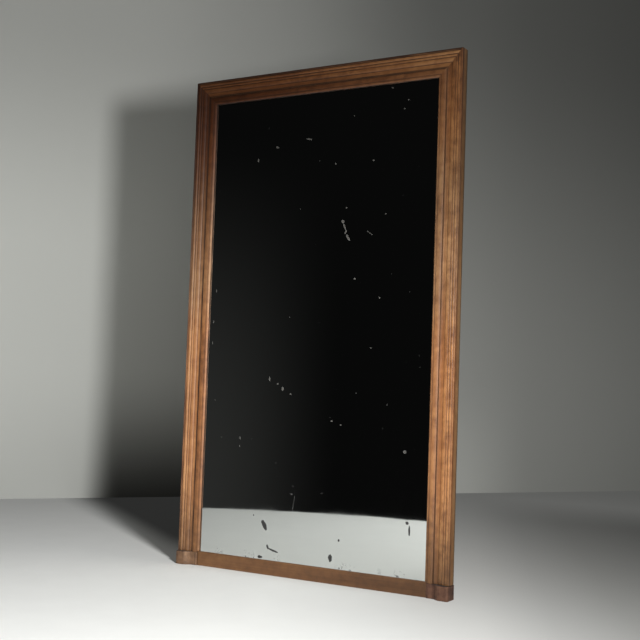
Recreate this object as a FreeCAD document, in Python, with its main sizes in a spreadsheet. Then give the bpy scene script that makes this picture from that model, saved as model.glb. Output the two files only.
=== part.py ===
import FreeCAD, Part
import math
import os
import Sketcher
from FreeCAD import Vector

# Full-length mirror. The frame stands upright on its two plinth blocks and bottom rail.
# X runs across the mirror, the glass faces -Y, Z is up and the base lies at Z = 0.
# In the section of a moulding, "out" is measured outwards from the edge of the visible glass,
# and "rise" forwards from the plane of that edge. Depths are measured backwards from that plane.

document = FreeCAD.newDocument("full_length_mirror")
sheet = document.addObject("Spreadsheet::Sheet", "Sizes")

driving_sizes = {
    # Visible glass and the courses below it
    "opening_width": 1012.0,
    "opening_height": 1850.0,
    "block_height": 53.0,
    "rail_rise": 4.0,
    # Layers of the frame, front to back
    "lip_depth": 6.0,
    "core_setback": 2.0,
    "core_thickness": 21.0,
    "batten_thickness": 9.0,
    # Sight moulding, the inner strip beside the glass
    "sight_width": 31.0,
    "sight_crown": 5.5,
    "lip_reach": 14.0,
    # Outer moulding, the broad strip round it
    "quirk_width": 2.0,
    "moulding_width": 65.0,
    "moulding_crown": 13.0,
    # Plinth blocks
    "block_inset": 7.5,
    "block_overhang": 2.5,
    "block_reach": 26.0,
    # Bottom rail
    "rail_gap": 1.0,
    "rail_edge_radius": 3.0,
    "rest_drop": 10.0,
    "rail_tenon_length": 20.0,
    "rail_tenon_height": 30.0,
    "rail_tenon_lift": 10.0,
    # Joints of the core frame
    "tenon_thickness": 8.0,
    "tenon_setback": 6.0,
    "tenon_length": 48.0,
    "tenon_shoulder": 16.0,
    "joint_clearance": 0.2,
    "peg_radius": 5.0,
    "peg_offset": 12.0,
    "rail_peg_radius": 4.0,
    "rail_peg_length": 19.0,
    "dowel_radius": 5.0,
    "dowel_length": 60.0,
    "dowel_inner": 40.0,
    "dowel_outer": 75.0,
    # Mirror plate and its packing
    "plate_overlap": 7.0,
    "plate_thickness": 5.0,
    "silver_thickness": 0.3,
    "plate_rest_height": 2.0,
    "plate_rest_length": 60.0,
    "plate_rest_inset": 176.0,
    "glass_block_width": 12.0,
    "glass_block_toe": 3.4,
    "glass_block_crest": 6.0,
    "glass_block_depth": 9.4,
    "glass_block_length": 50.0,
    "lining_thickness": 0.5,
    "lining_margin": 1.0,
    # Back battens and backboards
    "batten_inset": 40.0,
    "bottom_batten_height": 17.0,
    "board_thickness": 7.5,
    "board_gap": 1.0,
    "board_side_clearance": 2.0,
    # Hanging plates
    "hanger_width": 36.0,
    "hanger_height": 90.0,
    "hanger_thickness": 3.0,
    "hanger_hole_radius": 6.0,
    "hanger_drop": 160.0,
    "hanger_screw_margin": 7.0,
    "hook_pocket_width": 24.0,
    "hook_pocket_height": 44.0,
    # Screws that hold the outer moulding, driven from behind
    "moulding_screw_out": 84.0,
    "moulding_screw_length": 30.0,
    "moulding_screw_foot": 147.0,
    "moulding_screw_head": 157.0,
    "screw_radius": 2.2,
    "screw_head_radius": 4.2,
    "screw_head_height": 2.0,
    "screw_point": 4.0,
    "screw_clearance": 0.3,
    "cross_screw_inset": 156.0,
    # Screws of the battens and of the hanging plates
    "batten_screw_out": 67.0,
    "batten_screw_foot": 60.0,
    "batten_screw_length": 22.0,
    "hanger_screw_length": 18.0,
    # Nails of the backboards and pins of the sight moulding
    "nail_out": 28.0,
    "nail_radius": 1.1,
    "nail_length": 20.0,
    "nail_head_radius": 3.4,
    "nail_head_height": 1.2,
    "nail_edge": 40.0,
    "nail_clearance": 0.2,
    "pin_out": 25.4,
    "pin_radius": 0.8,
    "pin_length": 12.0,
    "pin_cover": 0.3,
    "pin_foot": 80.0,
    # Overrun of every cut past the face it opens
    "overrun": 5.0,
}

board_count = 7
side_glass_block_count = 5
cross_glass_block_count = 3
moulding_screw_rows = 6
batten_screw_rows = 7
cross_screw_count = 3
pin_rows = 6
cross_pin_count = 4

for row, (name, number) in enumerate(driving_sizes.items(), start=1):
    sheet.set("A%d" % row, name)
    sheet.set("B%d" % row, str(number))
    sheet.setAlias("B%d" % row, name)
document.recompute()


class Length:
    """A length: its number in millimetres, and the expression that ties it to the sheet."""

    def __init__(self, value, text):
        self.value = value
        self.text = text

    def __add__(self, other):
        other = as_length(other)
        return Length(self.value + other.value, "(%s + %s)" % (self.text, other.text))

    def __sub__(self, other):
        other = as_length(other)
        return Length(self.value - other.value, "(%s - %s)" % (self.text, other.text))

    def __mul__(self, other):
        other = as_length(other)
        return Length(self.value * other.value, "(%s * %s)" % (self.text, other.text))

    def __truediv__(self, other):
        other = as_length(other)
        return Length(self.value / other.value, "(%s / %s)" % (self.text, other.text))

    def __neg__(self):
        return self * -1

    def __rmul__(self, other):
        return self * other


def as_length(number):
    """A Length as it is, or a bare factor or zero made into one."""
    if isinstance(number, Length):
        return number
    return Length(float(number), "(%s)" % number)


class DrivingSizes:
    """The sheet's cells by name, each as a Length."""

    def __getattr__(self, name):
        return Length(float(sheet.get(name)), "Sizes.%s" % name)


size = DrivingSizes()

# Planes and lines that the pieces share
half_opening = size.opening_width / 2
frame_width = size.sight_width + size.quirk_width + size.moulding_width
back_depth = size.core_setback + size.core_thickness + size.batten_thickness
core_back = size.core_setback + size.core_thickness
rail_height = size.block_height + size.rail_rise
opening_top = rail_height + size.opening_height
frame_top = opening_top + frame_width
sight_plane = (size.block_reach - back_depth) / 2
block_outer = frame_width + size.block_overhang
plate_back = size.lip_depth + size.plate_thickness
packing_front = plate_back + size.silver_thickness
rest_level = rail_height - size.rest_drop
sides = {"left": -1, "right": 1}


def across(side, out):
    """X of a distance out from the sight edge, on the left (-1) or the right (1)."""
    return (half_opening + out) * side


def behind(depth):
    """Y of a depth behind the plane of the sight edge."""
    return sight_plane + depth


def above(out):
    """Z of a distance out from the top sight edge."""
    return opening_top + out


def new_body(name):
    """An empty body under the name of its piece."""
    body = document.addObject("PartDesign::Body", name)
    body.Label = name
    return body


def origin_feature(body, role):
    """One of the body's own origin planes or axes."""
    return [item for item in body.Origin.OriginFeatures if item.Role == role][0]


def new_sketch(body, role, name, offset, shift=None):
    """A sketch on one of the body's origin planes, moved along its normal by the offset."""
    sketch = body.newObject("Sketcher::SketchObject", name)
    sketch.AttachmentSupport = (origin_feature(body, role), [""])
    sketch.MapMode = "FlatFace"
    sketch.setExpression(".AttachmentOffset.Base.z", offset.text)
    if shift is not None:
        sketch.setExpression(".AttachmentOffset.Base.x", shift.text)
    return sketch


def plan_sketch(body, name, level, shift=None):
    """Sketch seen from above, X across and Y up the sheet, at a height."""
    return new_sketch(body, "XY_Plane", name, as_length(level), shift)


def front_sketch(body, name, plane):
    """Sketch seen from the front, X across and Z up the sheet, at a Y plane."""
    return new_sketch(body, "XZ_Plane", name, -as_length(plane))


def end_sketch(body, name, plane):
    """Sketch of a cross-section, Y across and Z up the sheet, at an X plane."""
    return new_sketch(body, "YZ_Plane", name, as_length(plane))


def swell_radius(start, end, swell):
    """Radius of the arc over a chord that bows out of it by the swell."""
    run = end[0] - start[0]
    climb = end[1] - start[1]
    return (run * run + climb * climb) / (swell * 8) + swell / 2


def arc_edge(start, end, swell):
    """Arc between two points, bowed to the right of the way for a positive swell."""
    run = end[0].value - start[0].value
    climb = end[1].value - start[1].value
    chord = math.hypot(run, climb)
    radius = chord * chord / (8 * swell.value) + swell.value / 2
    offset = (radius - swell.value) / chord
    middle = ((start[0].value + end[0].value) / 2, (start[1].value + end[1].value) / 2)
    centre = Vector(middle[0] - climb * offset, middle[1] + run * offset, 0)
    first, last = (start, end) if swell.value > 0 else (end, start)
    angles = [math.atan2(p[1].value - centre.y, p[0].value - centre.x) for p in (first, last)]
    if angles[1] < angles[0]:
        angles[1] += 2 * math.pi
    circle = Part.Circle(centre, Vector(0, 0, 1), abs(radius))
    return Part.ArcOfCircle(circle, angles[0], angles[1])


def tie(sketch, constraints, texts):
    """Adds the constraints and ties each one that has an expression to the sheet."""
    first = sketch.ConstraintCount
    sketch.addConstraint(constraints)
    for index, text in enumerate(texts):
        if text is not None:
            sketch.setExpression("Constraints[%d]" % (first + index), text)


def draw_outline(sketch, corners):
    """Closed outline through corners (across, up) or (across, up, swell).

    The swell is how far the edge to the next corner bows to the right of the way there.
    """
    first = sketch.GeometryCount
    corners = [tuple(corner) + (None,) * (3 - len(corner)) for corner in corners]
    count = len(corners)
    ends = []
    constraints = []
    texts = []
    for index, corner in enumerate(corners):
        following = corners[(index + 1) % count]
        swell = corner[2]
        if swell is None:
            points = [Vector(p[0].value, p[1].value, 0) for p in (corner, following)]
            sketch.addGeometry(Part.LineSegment(points[0], points[1]), False)
            ends.append((1, 2))
        else:
            sketch.addGeometry(arc_edge(corner, following, swell), False)
            ends.append((1, 2) if swell.value > 0 else (2, 1))
    for index, corner in enumerate(corners):
        following = (index + 1) % count
        edge = first + index
        start, end = ends[index]
        constraints.append(
            Sketcher.Constraint("Coincident", edge, end, first + following, ends[following][0]))
        texts.append(None)
        constraints.append(Sketcher.Constraint("DistanceX", -1, 1, edge, start, corner[0].value))
        texts.append(corner[0].text)
        constraints.append(Sketcher.Constraint("DistanceY", -1, 1, edge, start, corner[1].value))
        texts.append(corner[1].text)
        if corner[2] is not None:
            way = corner[2] if corner[2].value > 0 else -corner[2]
            radius = swell_radius(corner, corners[following], way)
            constraints.append(Sketcher.Constraint("Radius", edge, radius.value))
            texts.append(radius.text)
    tie(sketch, constraints, texts)


def draw_box(sketch, left, right, bottom, top):
    """Rectangle between two lines across and two lines up the sheet."""
    left, right, bottom, top = [as_length(line) for line in (left, right, bottom, top)]
    draw_outline(sketch, [(left, bottom), (right, bottom), (right, top), (left, top)])


def draw_circles(sketch, centres, radius):
    """Circles of one radius."""
    for centre in centres:
        edge = sketch.GeometryCount
        middle = Vector(centre[0].value, centre[1].value, 0)
        sketch.addGeometry(Part.Circle(middle, Vector(0, 0, 1), radius.value), False)
        tie(sketch,
            [Sketcher.Constraint("DistanceX", -1, 1, edge, 3, centre[0].value),
             Sketcher.Constraint("DistanceY", -1, 1, edge, 3, centre[1].value),
             Sketcher.Constraint("Radius", edge, radius.value)],
            [centre[0].text, centre[1].text, radius.text])


def pad(body, sketch, length, name):
    """Extrudes a sketch along its normal."""
    feature = body.newObject("PartDesign::Pad", name)
    feature.Profile = sketch
    feature.setExpression("Length", length.text)
    return feature


def pocket(body, sketch, depth, name, along_normal=False):
    """Cuts a sketch out of the body, against its normal unless told otherwise."""
    feature = body.newObject("PartDesign::Pocket", name)
    feature.Profile = sketch
    feature.Reversed = along_normal
    feature.setExpression("Length", depth.text)
    return feature


def repeat(body, feature, rows):
    """Copies a feature along axes: each row is (axis role, spacing, count)."""
    grid = body.newObject("PartDesign::MultiTransform", body.Name + "_grid")
    grid.Originals = [feature]
    patterns = []
    for index, (role, spacing, count) in enumerate(rows):
        pattern = body.newObject("PartDesign::LinearPattern", "%s_row_%d" % (body.Name, index))
        pattern.Direction = (origin_feature(body, role), [""])
        pattern.setExpression("Length", (spacing * (count - 1)).text)
        pattern.Occurrences = count
        patterns.append(pattern)
    grid.Transformations = patterns
    body.Tip = grid
    return grid


def drill(body, name, plane, centres, radius, depth, forwards=False):
    """Round holes square to the front, started at a Y plane and cut backwards or forwards."""
    sketch = front_sketch(body, name + "_sketch", plane)
    draw_circles(sketch, centres, radius)
    return pocket(body, sketch, depth, name, along_normal=forwards)


def countersunk_holes(body, name, plane, centres, depth):
    """Screw holes drilled forwards from a Y plane, with a bevelled rim there for each head."""
    holes = drill(body, name, plane, centres, screw_hole, depth, forwards=True)
    document.recompute()
    rims = []
    for index, edge in enumerate(holes.Shape.Edges, start=1):
        if isinstance(edge.Curve, Part.Circle) and is_rim(edge.Curve, plane, centres):
            rims.append("Edge%d" % index)
    bevel = body.newObject("PartDesign::Chamfer", name + "_countersinks")
    bevel.Base = (holes, rims)
    bevel.setExpression("Size", size.screw_head_height.text)
    return bevel


def is_rim(circle, plane, centres):
    """Whether a circle is the rim, in a Y plane, of one of the holes."""
    rims = [Vector(centre[0].value, plane.value, centre[1].value) for centre in centres]
    return any(circle.Center.isEqual(rim, FreeCAD.Base.Precision.confusion()) for rim in rims)


def spread(first, last, count):
    """Evenly spaced places from first to last."""
    return [first + (last - first) * (index / (count - 1)) for index in range(count)]


# Places of the fasteners, shared by the holes and by what fills them
moulding_screw_levels = spread(size.block_height + size.moulding_screw_foot,
                               opening_top - size.moulding_screw_head, moulding_screw_rows)
batten_screw_levels = spread(size.block_height + size.batten_screw_foot,
                             above((size.lip_reach + frame_width) / 2), batten_screw_rows)
pin_levels = spread(size.block_height + size.pin_foot, opening_top - size.pin_foot, pin_rows)
cross_reach = half_opening - size.cross_screw_inset
cross_places = spread(-cross_reach, cross_reach, cross_screw_count)
cross_pitch = cross_places[1] - cross_places[0]
cross_pin_places = spread(-half_opening + size.pin_foot, half_opening - size.pin_foot, cross_pin_count)
tenon_middle = above((size.lip_reach + frame_width) / 2)
peg_levels = [tenon_middle - size.peg_offset, tenon_middle + size.peg_offset]
peg_out = size.lip_reach + size.tenon_length / 2
rail_peg_level = size.rail_tenon_lift + size.rail_tenon_height / 2
rail_peg_out = size.block_inset + size.rail_tenon_length / 2
dowel_depth = (size.core_setback + core_back) / 2
hanger_level = frame_top - size.hanger_drop
hanger_screw_span = size.hanger_width - size.hanger_screw_margin * 2
hanger_screw_rise = size.hanger_height - size.hanger_screw_margin * 2
boards_bottom = size.bottom_batten_height + size.board_gap
board_pitch = (above(size.batten_inset) - size.bottom_batten_height) / board_count
screw_hole = size.screw_radius + size.screw_clearance
nail_hole = size.nail_radius + size.nail_clearance
pin_hole = size.pin_radius + size.nail_clearance
dowel_hole = size.dowel_radius + size.joint_clearance
peg_hole = size.peg_radius + size.joint_clearance
rail_peg_hole = size.rail_peg_radius + size.joint_clearance


def board_nail_levels(board):
    """Heights of the two nails at each end of a backboard."""
    bottom = boards_bottom + board_pitch * board
    return [bottom + size.nail_edge, bottom + board_pitch - size.board_gap - size.nail_edge]


def hanger_screw_places(side):
    """The four screws of a hanging plate."""
    middle = across(side, size.batten_screw_out)
    return [(middle + hanger_screw_span * (x / 2), hanger_level + hanger_screw_rise * (z / 2))
            for x in (-1, 1) for z in (-1, 1)]


# Section of the outer moulding, from its inner edge outwards: out as a share of its width, rise and
# swell as shares of its crown. A cove, a broad reed, a reed, a roll, and the flat outer band.
moulding_front_shares = [
    (0.000, 0.092, 0.0),
    (0.015, 0.092, -0.090),
    (0.262, 0.123, 0.0),
    (0.271, -0.015, 0.0),
    (0.286, -0.015, 0.0),
    (0.286, 0.123, 0.130),
    (0.532, 0.460, 0.0),
    (0.542, 0.354, 0.0),
    (0.554, 0.354, 0.0),
    (0.554, 0.477, 0.092),
    (0.686, 0.585, 0.0),
    (0.695, 0.492, 0.0),
    (0.706, 0.492, 0.0),
    (0.706, 0.600, 0.146),
    (0.866, 0.785, 0.0),
    (0.875, 0.692, 0.0),
    (0.886, 0.692, 0.0),
    (0.886, 0.938, 0.0),
    (0.905, 0.985, 0.0),
    (0.975, 1.000, 0.035),
    (1.000, 0.870, 0.0),
]

# Section of the sight moulding: a lip that rises from the glass, a fine groove and a wide reed.
sight_front_shares = [
    (0.000, 0.000, 0.236),
    (0.290, 0.764, 0.0),
    (0.303, 0.582, 0.0),
    (0.326, 0.582, 0.0),
    (0.326, 0.764, 0.255),
    (0.955, 0.800, 0.0),
    (1.000, 0.582, 0.0),
]

# Plan of a plinth block's front: a low inner part, an ogee and the bold outer part.
block_front_shares = [
    (0.000, 0.200, 0.008),
    (0.016, 0.250, 0.0),
    (0.279, 0.262, -0.050),
    (0.421, 0.520, 0.060),
    (0.596, 0.942, 0.0),
    (0.902, 1.000, 0.090),
    (1.000, 0.690, 0.0),
]


def front_line(shares, start, width, crown):
    """Front of a section as (out, rise, swell), from its table of shares."""
    return [(start + width * out, crown * rise, crown * swell if swell else None)
            for out, rise, swell in shares]


def moulding_section():
    """Outer moulding: its front line closed by a flat back on the core."""
    start = size.sight_width + size.quirk_width
    front = front_line(moulding_front_shares, start, size.moulding_width, size.moulding_crown)
    return front + [(frame_width, -size.core_setback), (start, -size.core_setback)]


def sight_section():
    """Sight moulding: its back is rebated, so that the lip reaches down to the glass."""
    front = front_line(sight_front_shares, as_length(0), size.sight_width, size.sight_crown)
    return front + [
        (size.sight_width, -size.core_setback),
        (size.lip_reach, -size.core_setback),
        (size.lip_reach, -size.lip_depth),
        (as_length(0), -size.lip_depth),
    ]


def block_section():
    """Plinth block in plan, notched behind for the backboards and the bottom batten."""
    width = block_outer - size.block_inset
    front = front_line(block_front_shares, size.block_inset, width, size.block_reach)
    return front + [
        (block_outer, -back_depth),
        (size.batten_inset, -back_depth),
        (size.batten_inset, -core_back),
        (size.block_inset, -core_back),
    ]


def side_outline(section, side):
    """A section laid out in plan on the left or right side."""
    return [(across(side, corner[0]), behind(-corner[1]))
            + tuple(swell * side for swell in corner[2:] if swell is not None)
            for corner in section]


def head_outline(section):
    """A section laid out as the cross-section of a top piece."""
    return [(behind(-corner[1]), above(corner[0]))
            + tuple(-swell for swell in corner[2:] if swell is not None)
            for corner in section]


def mitre_triangle(side, width, keep_top):
    """Waste beyond the mitre line of a corner, for a top piece or for a side piece."""
    near = -size.overrun
    far = width + size.overrun
    waste = (far, near) if keep_top else (near, far)
    return [(across(side, out), above(up)) for out, up in ((near, near), (far, far), waste)]


def cut_mitres(body, width, corner_sides, keep_top):
    """Cuts the mitred ends at 45 degrees, right through the section."""
    sketch = front_sketch(body, body.Name + "_mitre_sketch", behind(-size.moulding_crown - size.overrun))
    for side in corner_sides:
        draw_outline(sketch, mitre_triangle(side, width, keep_top))
    depth = size.moulding_crown + size.lip_depth + size.overrun * 2
    return pocket(body, sketch, depth, body.Name + "_mitre")


def side_moulding(name, section, side, width):
    """An upright moulding from the plinth block to its mitre."""
    body = new_body(name)
    sketch = plan_sketch(body, name + "_section", size.block_height)
    draw_outline(sketch, side_outline(section, side))
    pad(body, sketch, above(width) - size.block_height, name + "_length")
    cut_mitres(body, width, [side], keep_top=False)
    return body


def head_moulding(name, section, width):
    """A top moulding, mitred at both ends."""
    body = new_body(name)
    sketch = end_sketch(body, name + "_section", across(-1, width))
    draw_outline(sketch, head_outline(section))
    pad(body, sketch, across(1, width) * 2, name + "_length")
    cut_mitres(body, width, sides.values(), keep_top=True)
    return body


def outer_mouldings():
    """The broad mouldings round the frame, screwed from behind through the core."""
    depth = size.moulding_screw_length - size.core_thickness + size.screw_clearance
    for word, side in sides.items():
        body = side_moulding(word + "_outer_moulding", moulding_section(), side, frame_width)
        places = [(across(side, size.moulding_screw_out), level) for level in moulding_screw_levels]
        drill(body, body.Name + "_holes", behind(size.core_setback), places, screw_hole, depth,
              forwards=True)
    body = head_moulding("top_outer_moulding", moulding_section(), frame_width)
    places = [(place, above(size.moulding_screw_out)) for place in cross_places]
    drill(body, body.Name + "_holes", behind(size.core_setback), places, screw_hole, depth,
          forwards=True)


def sight_mouldings():
    """The inner strips beside the glass, pinned to the core. The side ones stand on the rail."""
    depth = size.core_setback + size.pin_cover + size.nail_clearance
    for word, side in sides.items():
        body = side_moulding(word + "_sight_moulding", sight_section(), side, size.sight_width)
        notch = front_sketch(body, body.Name + "_foot_sketch", behind(-size.sight_crown - size.overrun))
        lines = sorted([across(side, -size.overrun), across(side, size.block_inset)],
                       key=lambda line: line.value)
        draw_box(notch, lines[0], lines[1], size.block_height - size.overrun, rail_height)
        pocket(body, notch, size.sight_crown + size.lip_depth + size.overrun * 2, body.Name + "_foot")
        places = [(across(side, size.pin_out), level) for level in pin_levels]
        drill(body, body.Name + "_holes", behind(size.core_setback), places, pin_hole, depth,
              forwards=True)
    body = head_moulding("top_sight_moulding", sight_section(), size.sight_width)
    places = [(place, above(size.pin_out)) for place in cross_pin_places]
    drill(body, body.Name + "_holes", behind(size.core_setback), places, pin_hole, depth,
          forwards=True)


def bottom_rail():
    """The plain board under the glass, rebated for the plate and tenoned into the blocks."""
    body = new_body("bottom_rail")
    shoulder = size.block_inset - size.rail_gap
    radius = size.rail_edge_radius
    sketch = end_sketch(body, "bottom_rail_section", across(-1, shoulder))
    edge_swell = radius * (1 - math.sqrt(0.5))
    draw_outline(sketch, [
        (behind(as_length(0)), as_length(0)),
        (behind(core_back), as_length(0)),
        (behind(core_back), rest_level),
        (behind(size.lip_depth), rest_level),
        (behind(size.lip_depth), rail_height),
        (behind(radius), rail_height, edge_swell),
        (behind(as_length(0)), rail_height - radius),
    ])
    pad(body, sketch, across(1, shoulder) * 2, "bottom_rail_length")
    reach = size.block_inset + size.rail_tenon_length
    tenon = end_sketch(body, "bottom_rail_tenon_sketch", across(-1, reach))
    draw_box(tenon, behind(size.lip_depth), behind(size.lip_depth + size.tenon_thickness),
             size.rail_tenon_lift, size.rail_tenon_lift + size.rail_tenon_height)
    pad(body, tenon, across(1, reach) * 2, "bottom_rail_tenons")
    places = [(across(side, rail_peg_out), rail_peg_level) for side in sides.values()]
    drill(body, "bottom_rail_peg_holes", behind(core_back), places, rail_peg_hole,
          size.core_thickness, forwards=True)
    screws = [(place, size.bottom_batten_height / 2) for place in cross_places]
    drill(body, "bottom_rail_screw_holes", behind(core_back), screws, screw_hole,
          size.batten_screw_length - size.batten_thickness + size.screw_clearance, forwards=True)


def plinth_blocks():
    """The two feet, one solid block each, mortised for the rail and bored for the dowels."""
    clear = size.joint_clearance
    for word, side in sides.items():
        body = new_body(word + "_plinth_block")
        sketch = plan_sketch(body, body.Name + "_plan", as_length(0))
        draw_outline(sketch, side_outline(block_section(), side))
        pad(body, sketch, size.block_height, body.Name + "_height")
        mortise = end_sketch(body, body.Name + "_mortise_sketch", across(side, size.block_inset))
        draw_box(mortise, behind(size.lip_depth - clear),
                 behind(size.lip_depth + size.tenon_thickness + clear),
                 size.rail_tenon_lift - clear,
                 size.rail_tenon_lift + size.rail_tenon_height + clear)
        pocket(body, mortise, size.rail_tenon_length + clear, body.Name + "_mortise",
               along_normal=side > 0)
        dowels = plan_sketch(body, body.Name + "_dowel_sketch", size.block_height)
        draw_circles(dowels, [(across(side, out), behind(dowel_depth))
                              for out in (size.dowel_inner, size.dowel_outer)], dowel_hole)
        pocket(body, dowels, size.dowel_length / 2 + clear, body.Name + "_dowel_holes")
        drill(body, body.Name + "_peg_hole", behind(core_back),
              [(across(side, rail_peg_out), rail_peg_level)], rail_peg_hole,
              size.rail_peg_length + clear, forwards=True)


def core_stiles():
    """The hidden uprights that carry the mouldings, mortised for the top core rail."""
    clear = size.joint_clearance
    for word, side in sides.items():
        body = new_body(word + "_core_stile")
        sketch = plan_sketch(body, body.Name + "_plan", size.block_height)
        lines = sorted([across(side, size.lip_reach), across(side, frame_width)],
                       key=lambda line: line.value)
        draw_box(sketch, lines[0], lines[1], behind(size.core_setback), behind(core_back))
        pad(body, sketch, frame_top - size.block_height, body.Name + "_length")
        mortise = end_sketch(body, body.Name + "_mortise_sketch", across(side, size.lip_reach))
        cheek = size.core_setback + size.tenon_setback
        draw_box(mortise, behind(cheek - clear), behind(cheek + size.tenon_thickness + clear),
                 above(size.lip_reach + size.tenon_shoulder - clear),
                 above(frame_width - size.tenon_shoulder + clear))
        pocket(body, mortise, size.tenon_length + clear, body.Name + "_mortise",
               along_normal=side > 0)
        dowels = plan_sketch(body, body.Name + "_dowel_sketch", size.block_height)
        draw_circles(dowels, [(across(side, out), behind(dowel_depth))
                              for out in (size.dowel_inner, size.dowel_outer)], dowel_hole)
        pocket(body, dowels, size.dowel_length / 2 + clear, body.Name + "_dowel_holes",
               along_normal=True)
        drill(body, body.Name + "_peg_holes", behind(core_back),
              [(across(side, peg_out), level) for level in peg_levels], peg_hole,
              size.core_thickness + size.overrun, forwards=True)
        countersunk_holes(
            body, body.Name + "_moulding_screw_holes", behind(core_back),
            [(across(side, size.moulding_screw_out), level) for level in moulding_screw_levels],
            size.core_thickness + size.overrun)
        drill(body, body.Name + "_batten_screw_holes", behind(core_back),
              [(across(side, size.batten_screw_out), level) for level in batten_screw_levels],
              screw_hole, size.batten_screw_length - size.batten_thickness + size.screw_clearance,
              forwards=True)
        drill(body, body.Name + "_hanger_screw_holes", behind(core_back), hanger_screw_places(side),
              screw_hole, size.hanger_screw_length - size.batten_thickness + size.screw_clearance,
              forwards=True)
        nails = [(across(side, size.nail_out), level)
                 for board in range(board_count) for level in board_nail_levels(board)]
        drill(body, body.Name + "_nail_holes", behind(core_back), nails, nail_hole,
              size.nail_length - size.board_thickness + size.nail_clearance, forwards=True)
        drill(body, body.Name + "_pin_holes", behind(size.core_setback),
              [(across(side, size.pin_out), level) for level in pin_levels], pin_hole,
              size.pin_length + size.nail_clearance - size.core_setback)


def top_core_rail():
    """The hidden rail over the glass, tenoned into the core stiles."""
    body = new_body("top_core_rail")
    sketch = end_sketch(body, "top_core_rail_section", across(-1, size.lip_reach))
    draw_box(sketch, behind(size.core_setback), behind(core_back), above(size.lip_reach), frame_top)
    pad(body, sketch, across(1, size.lip_reach) * 2, "top_core_rail_length")
    reach = size.lip_reach + size.tenon_length
    cheek = size.core_setback + size.tenon_setback
    tenon = end_sketch(body, "top_core_rail_tenon_sketch", across(-1, reach))
    draw_box(tenon, behind(cheek), behind(cheek + size.tenon_thickness),
             above(size.lip_reach + size.tenon_shoulder), above(frame_width - size.tenon_shoulder))
    pad(body, tenon, across(1, reach) * 2, "top_core_rail_tenons")
    pegs = [(across(side, peg_out), level) for side in sides.values() for level in peg_levels]
    drill(body, "top_core_rail_peg_holes", behind(core_back), pegs, peg_hole,
          size.core_thickness + size.overrun, forwards=True)
    screws = [(place, above(size.moulding_screw_out)) for place in cross_places]
    countersunk_holes(body, "top_core_rail_moulding_screw_holes", behind(core_back), screws,
                      size.core_thickness + size.overrun)
    battens = [(place, above(size.batten_screw_out)) for place in cross_places]
    drill(body, "top_core_rail_batten_screw_holes", behind(core_back), battens, screw_hole,
          size.batten_screw_length - size.batten_thickness + size.screw_clearance, forwards=True)
    pins = [(place, above(size.pin_out)) for place in cross_pin_places]
    drill(body, "top_core_rail_pin_holes", behind(size.core_setback), pins, pin_hole,
          size.pin_length + size.nail_clearance - size.core_setback)


def mirror_plate():
    """The glass, with its coat of silver behind it, and the lining that keeps dust off it."""
    overlap = size.plate_overlap
    bottom = rest_level + size.plate_rest_height
    layers = {
        "mirror_plate": (overlap, size.lip_depth, size.plate_thickness, bottom, above(overlap)),
        "silvering": (overlap, plate_back, size.silver_thickness, bottom, above(overlap)),
        "lining_paper": (size.lip_reach - size.lining_margin, core_back - size.lining_thickness,
                         size.lining_thickness, size.block_height + size.lining_margin,
                         above(size.lip_reach - size.lining_margin)),
    }
    for name, (out, depth, thickness, low, high) in layers.items():
        box = document.addObject("Part::Box", name)
        box.Label = name
        box.setExpression("Length", (across(1, out) * 2).text)
        box.setExpression("Width", thickness.text)
        box.setExpression("Height", (high - low).text)
        box.setExpression(".Placement.Base.x", across(-1, out).text)
        box.setExpression(".Placement.Base.y", behind(depth).text)
        box.setExpression(".Placement.Base.z", low.text)


def glass_block_section(base, up):
    """Cross-section of a glass block as (distance, depth): a wedge glued in the rebate's corner."""
    width = size.glass_block_width * up
    crest = size.glass_block_crest * up
    front = packing_front
    return [
        (base, front),
        (base - width, front),
        (base - width, front + size.glass_block_toe),
        (base - crest, front + size.glass_block_depth),
        (base, front + size.glass_block_depth),
    ]


def glass_blocks():
    """Rows of softwood wedges that hold the plate forward against the lip."""
    length = size.glass_block_length
    first = rail_height + size.opening_height / (side_glass_block_count * 2) - length / 2
    pitch = size.opening_height / side_glass_block_count
    for word, side in sides.items():
        body = new_body(word + "_glass_blocks")
        sketch = plan_sketch(body, body.Name + "_section", first)
        draw_outline(sketch, [(across(side, out), behind(depth))
                              for out, depth in glass_block_section(size.lip_reach, 1)])
        block = pad(body, sketch, length, body.Name + "_length")
        repeat(body, block, [("Z_Axis", pitch, side_glass_block_count)])
    first = cross_places[0] - length / 2
    for name, base, up in (("top_glass_blocks", above(size.lip_reach), 1),
                           ("bottom_glass_blocks", rest_level, -1)):
        body = new_body(name)
        sketch = end_sketch(body, name + "_section", first)
        draw_outline(sketch, [(behind(depth), level)
                              for level, depth in glass_block_section(base, up)])
        block = pad(body, sketch, length, name + "_length")
        repeat(body, block, [("X_Axis", cross_pitch, cross_glass_block_count)])


def plate_rests():
    """Two leather pads in the rail's rebate, on which the plate stands."""
    body = new_body("plate_rests")
    first = size.plate_rest_inset - half_opening
    sketch = end_sketch(body, "plate_rests_section", first)
    draw_box(sketch, behind(size.lip_depth), behind(plate_back), rest_level,
             rest_level + size.plate_rest_height)
    rest = pad(body, sketch, size.plate_rest_length, "plate_rests_length")
    repeat(body, rest, [("X_Axis", -first * 2 - size.plate_rest_length, 2)])


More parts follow.
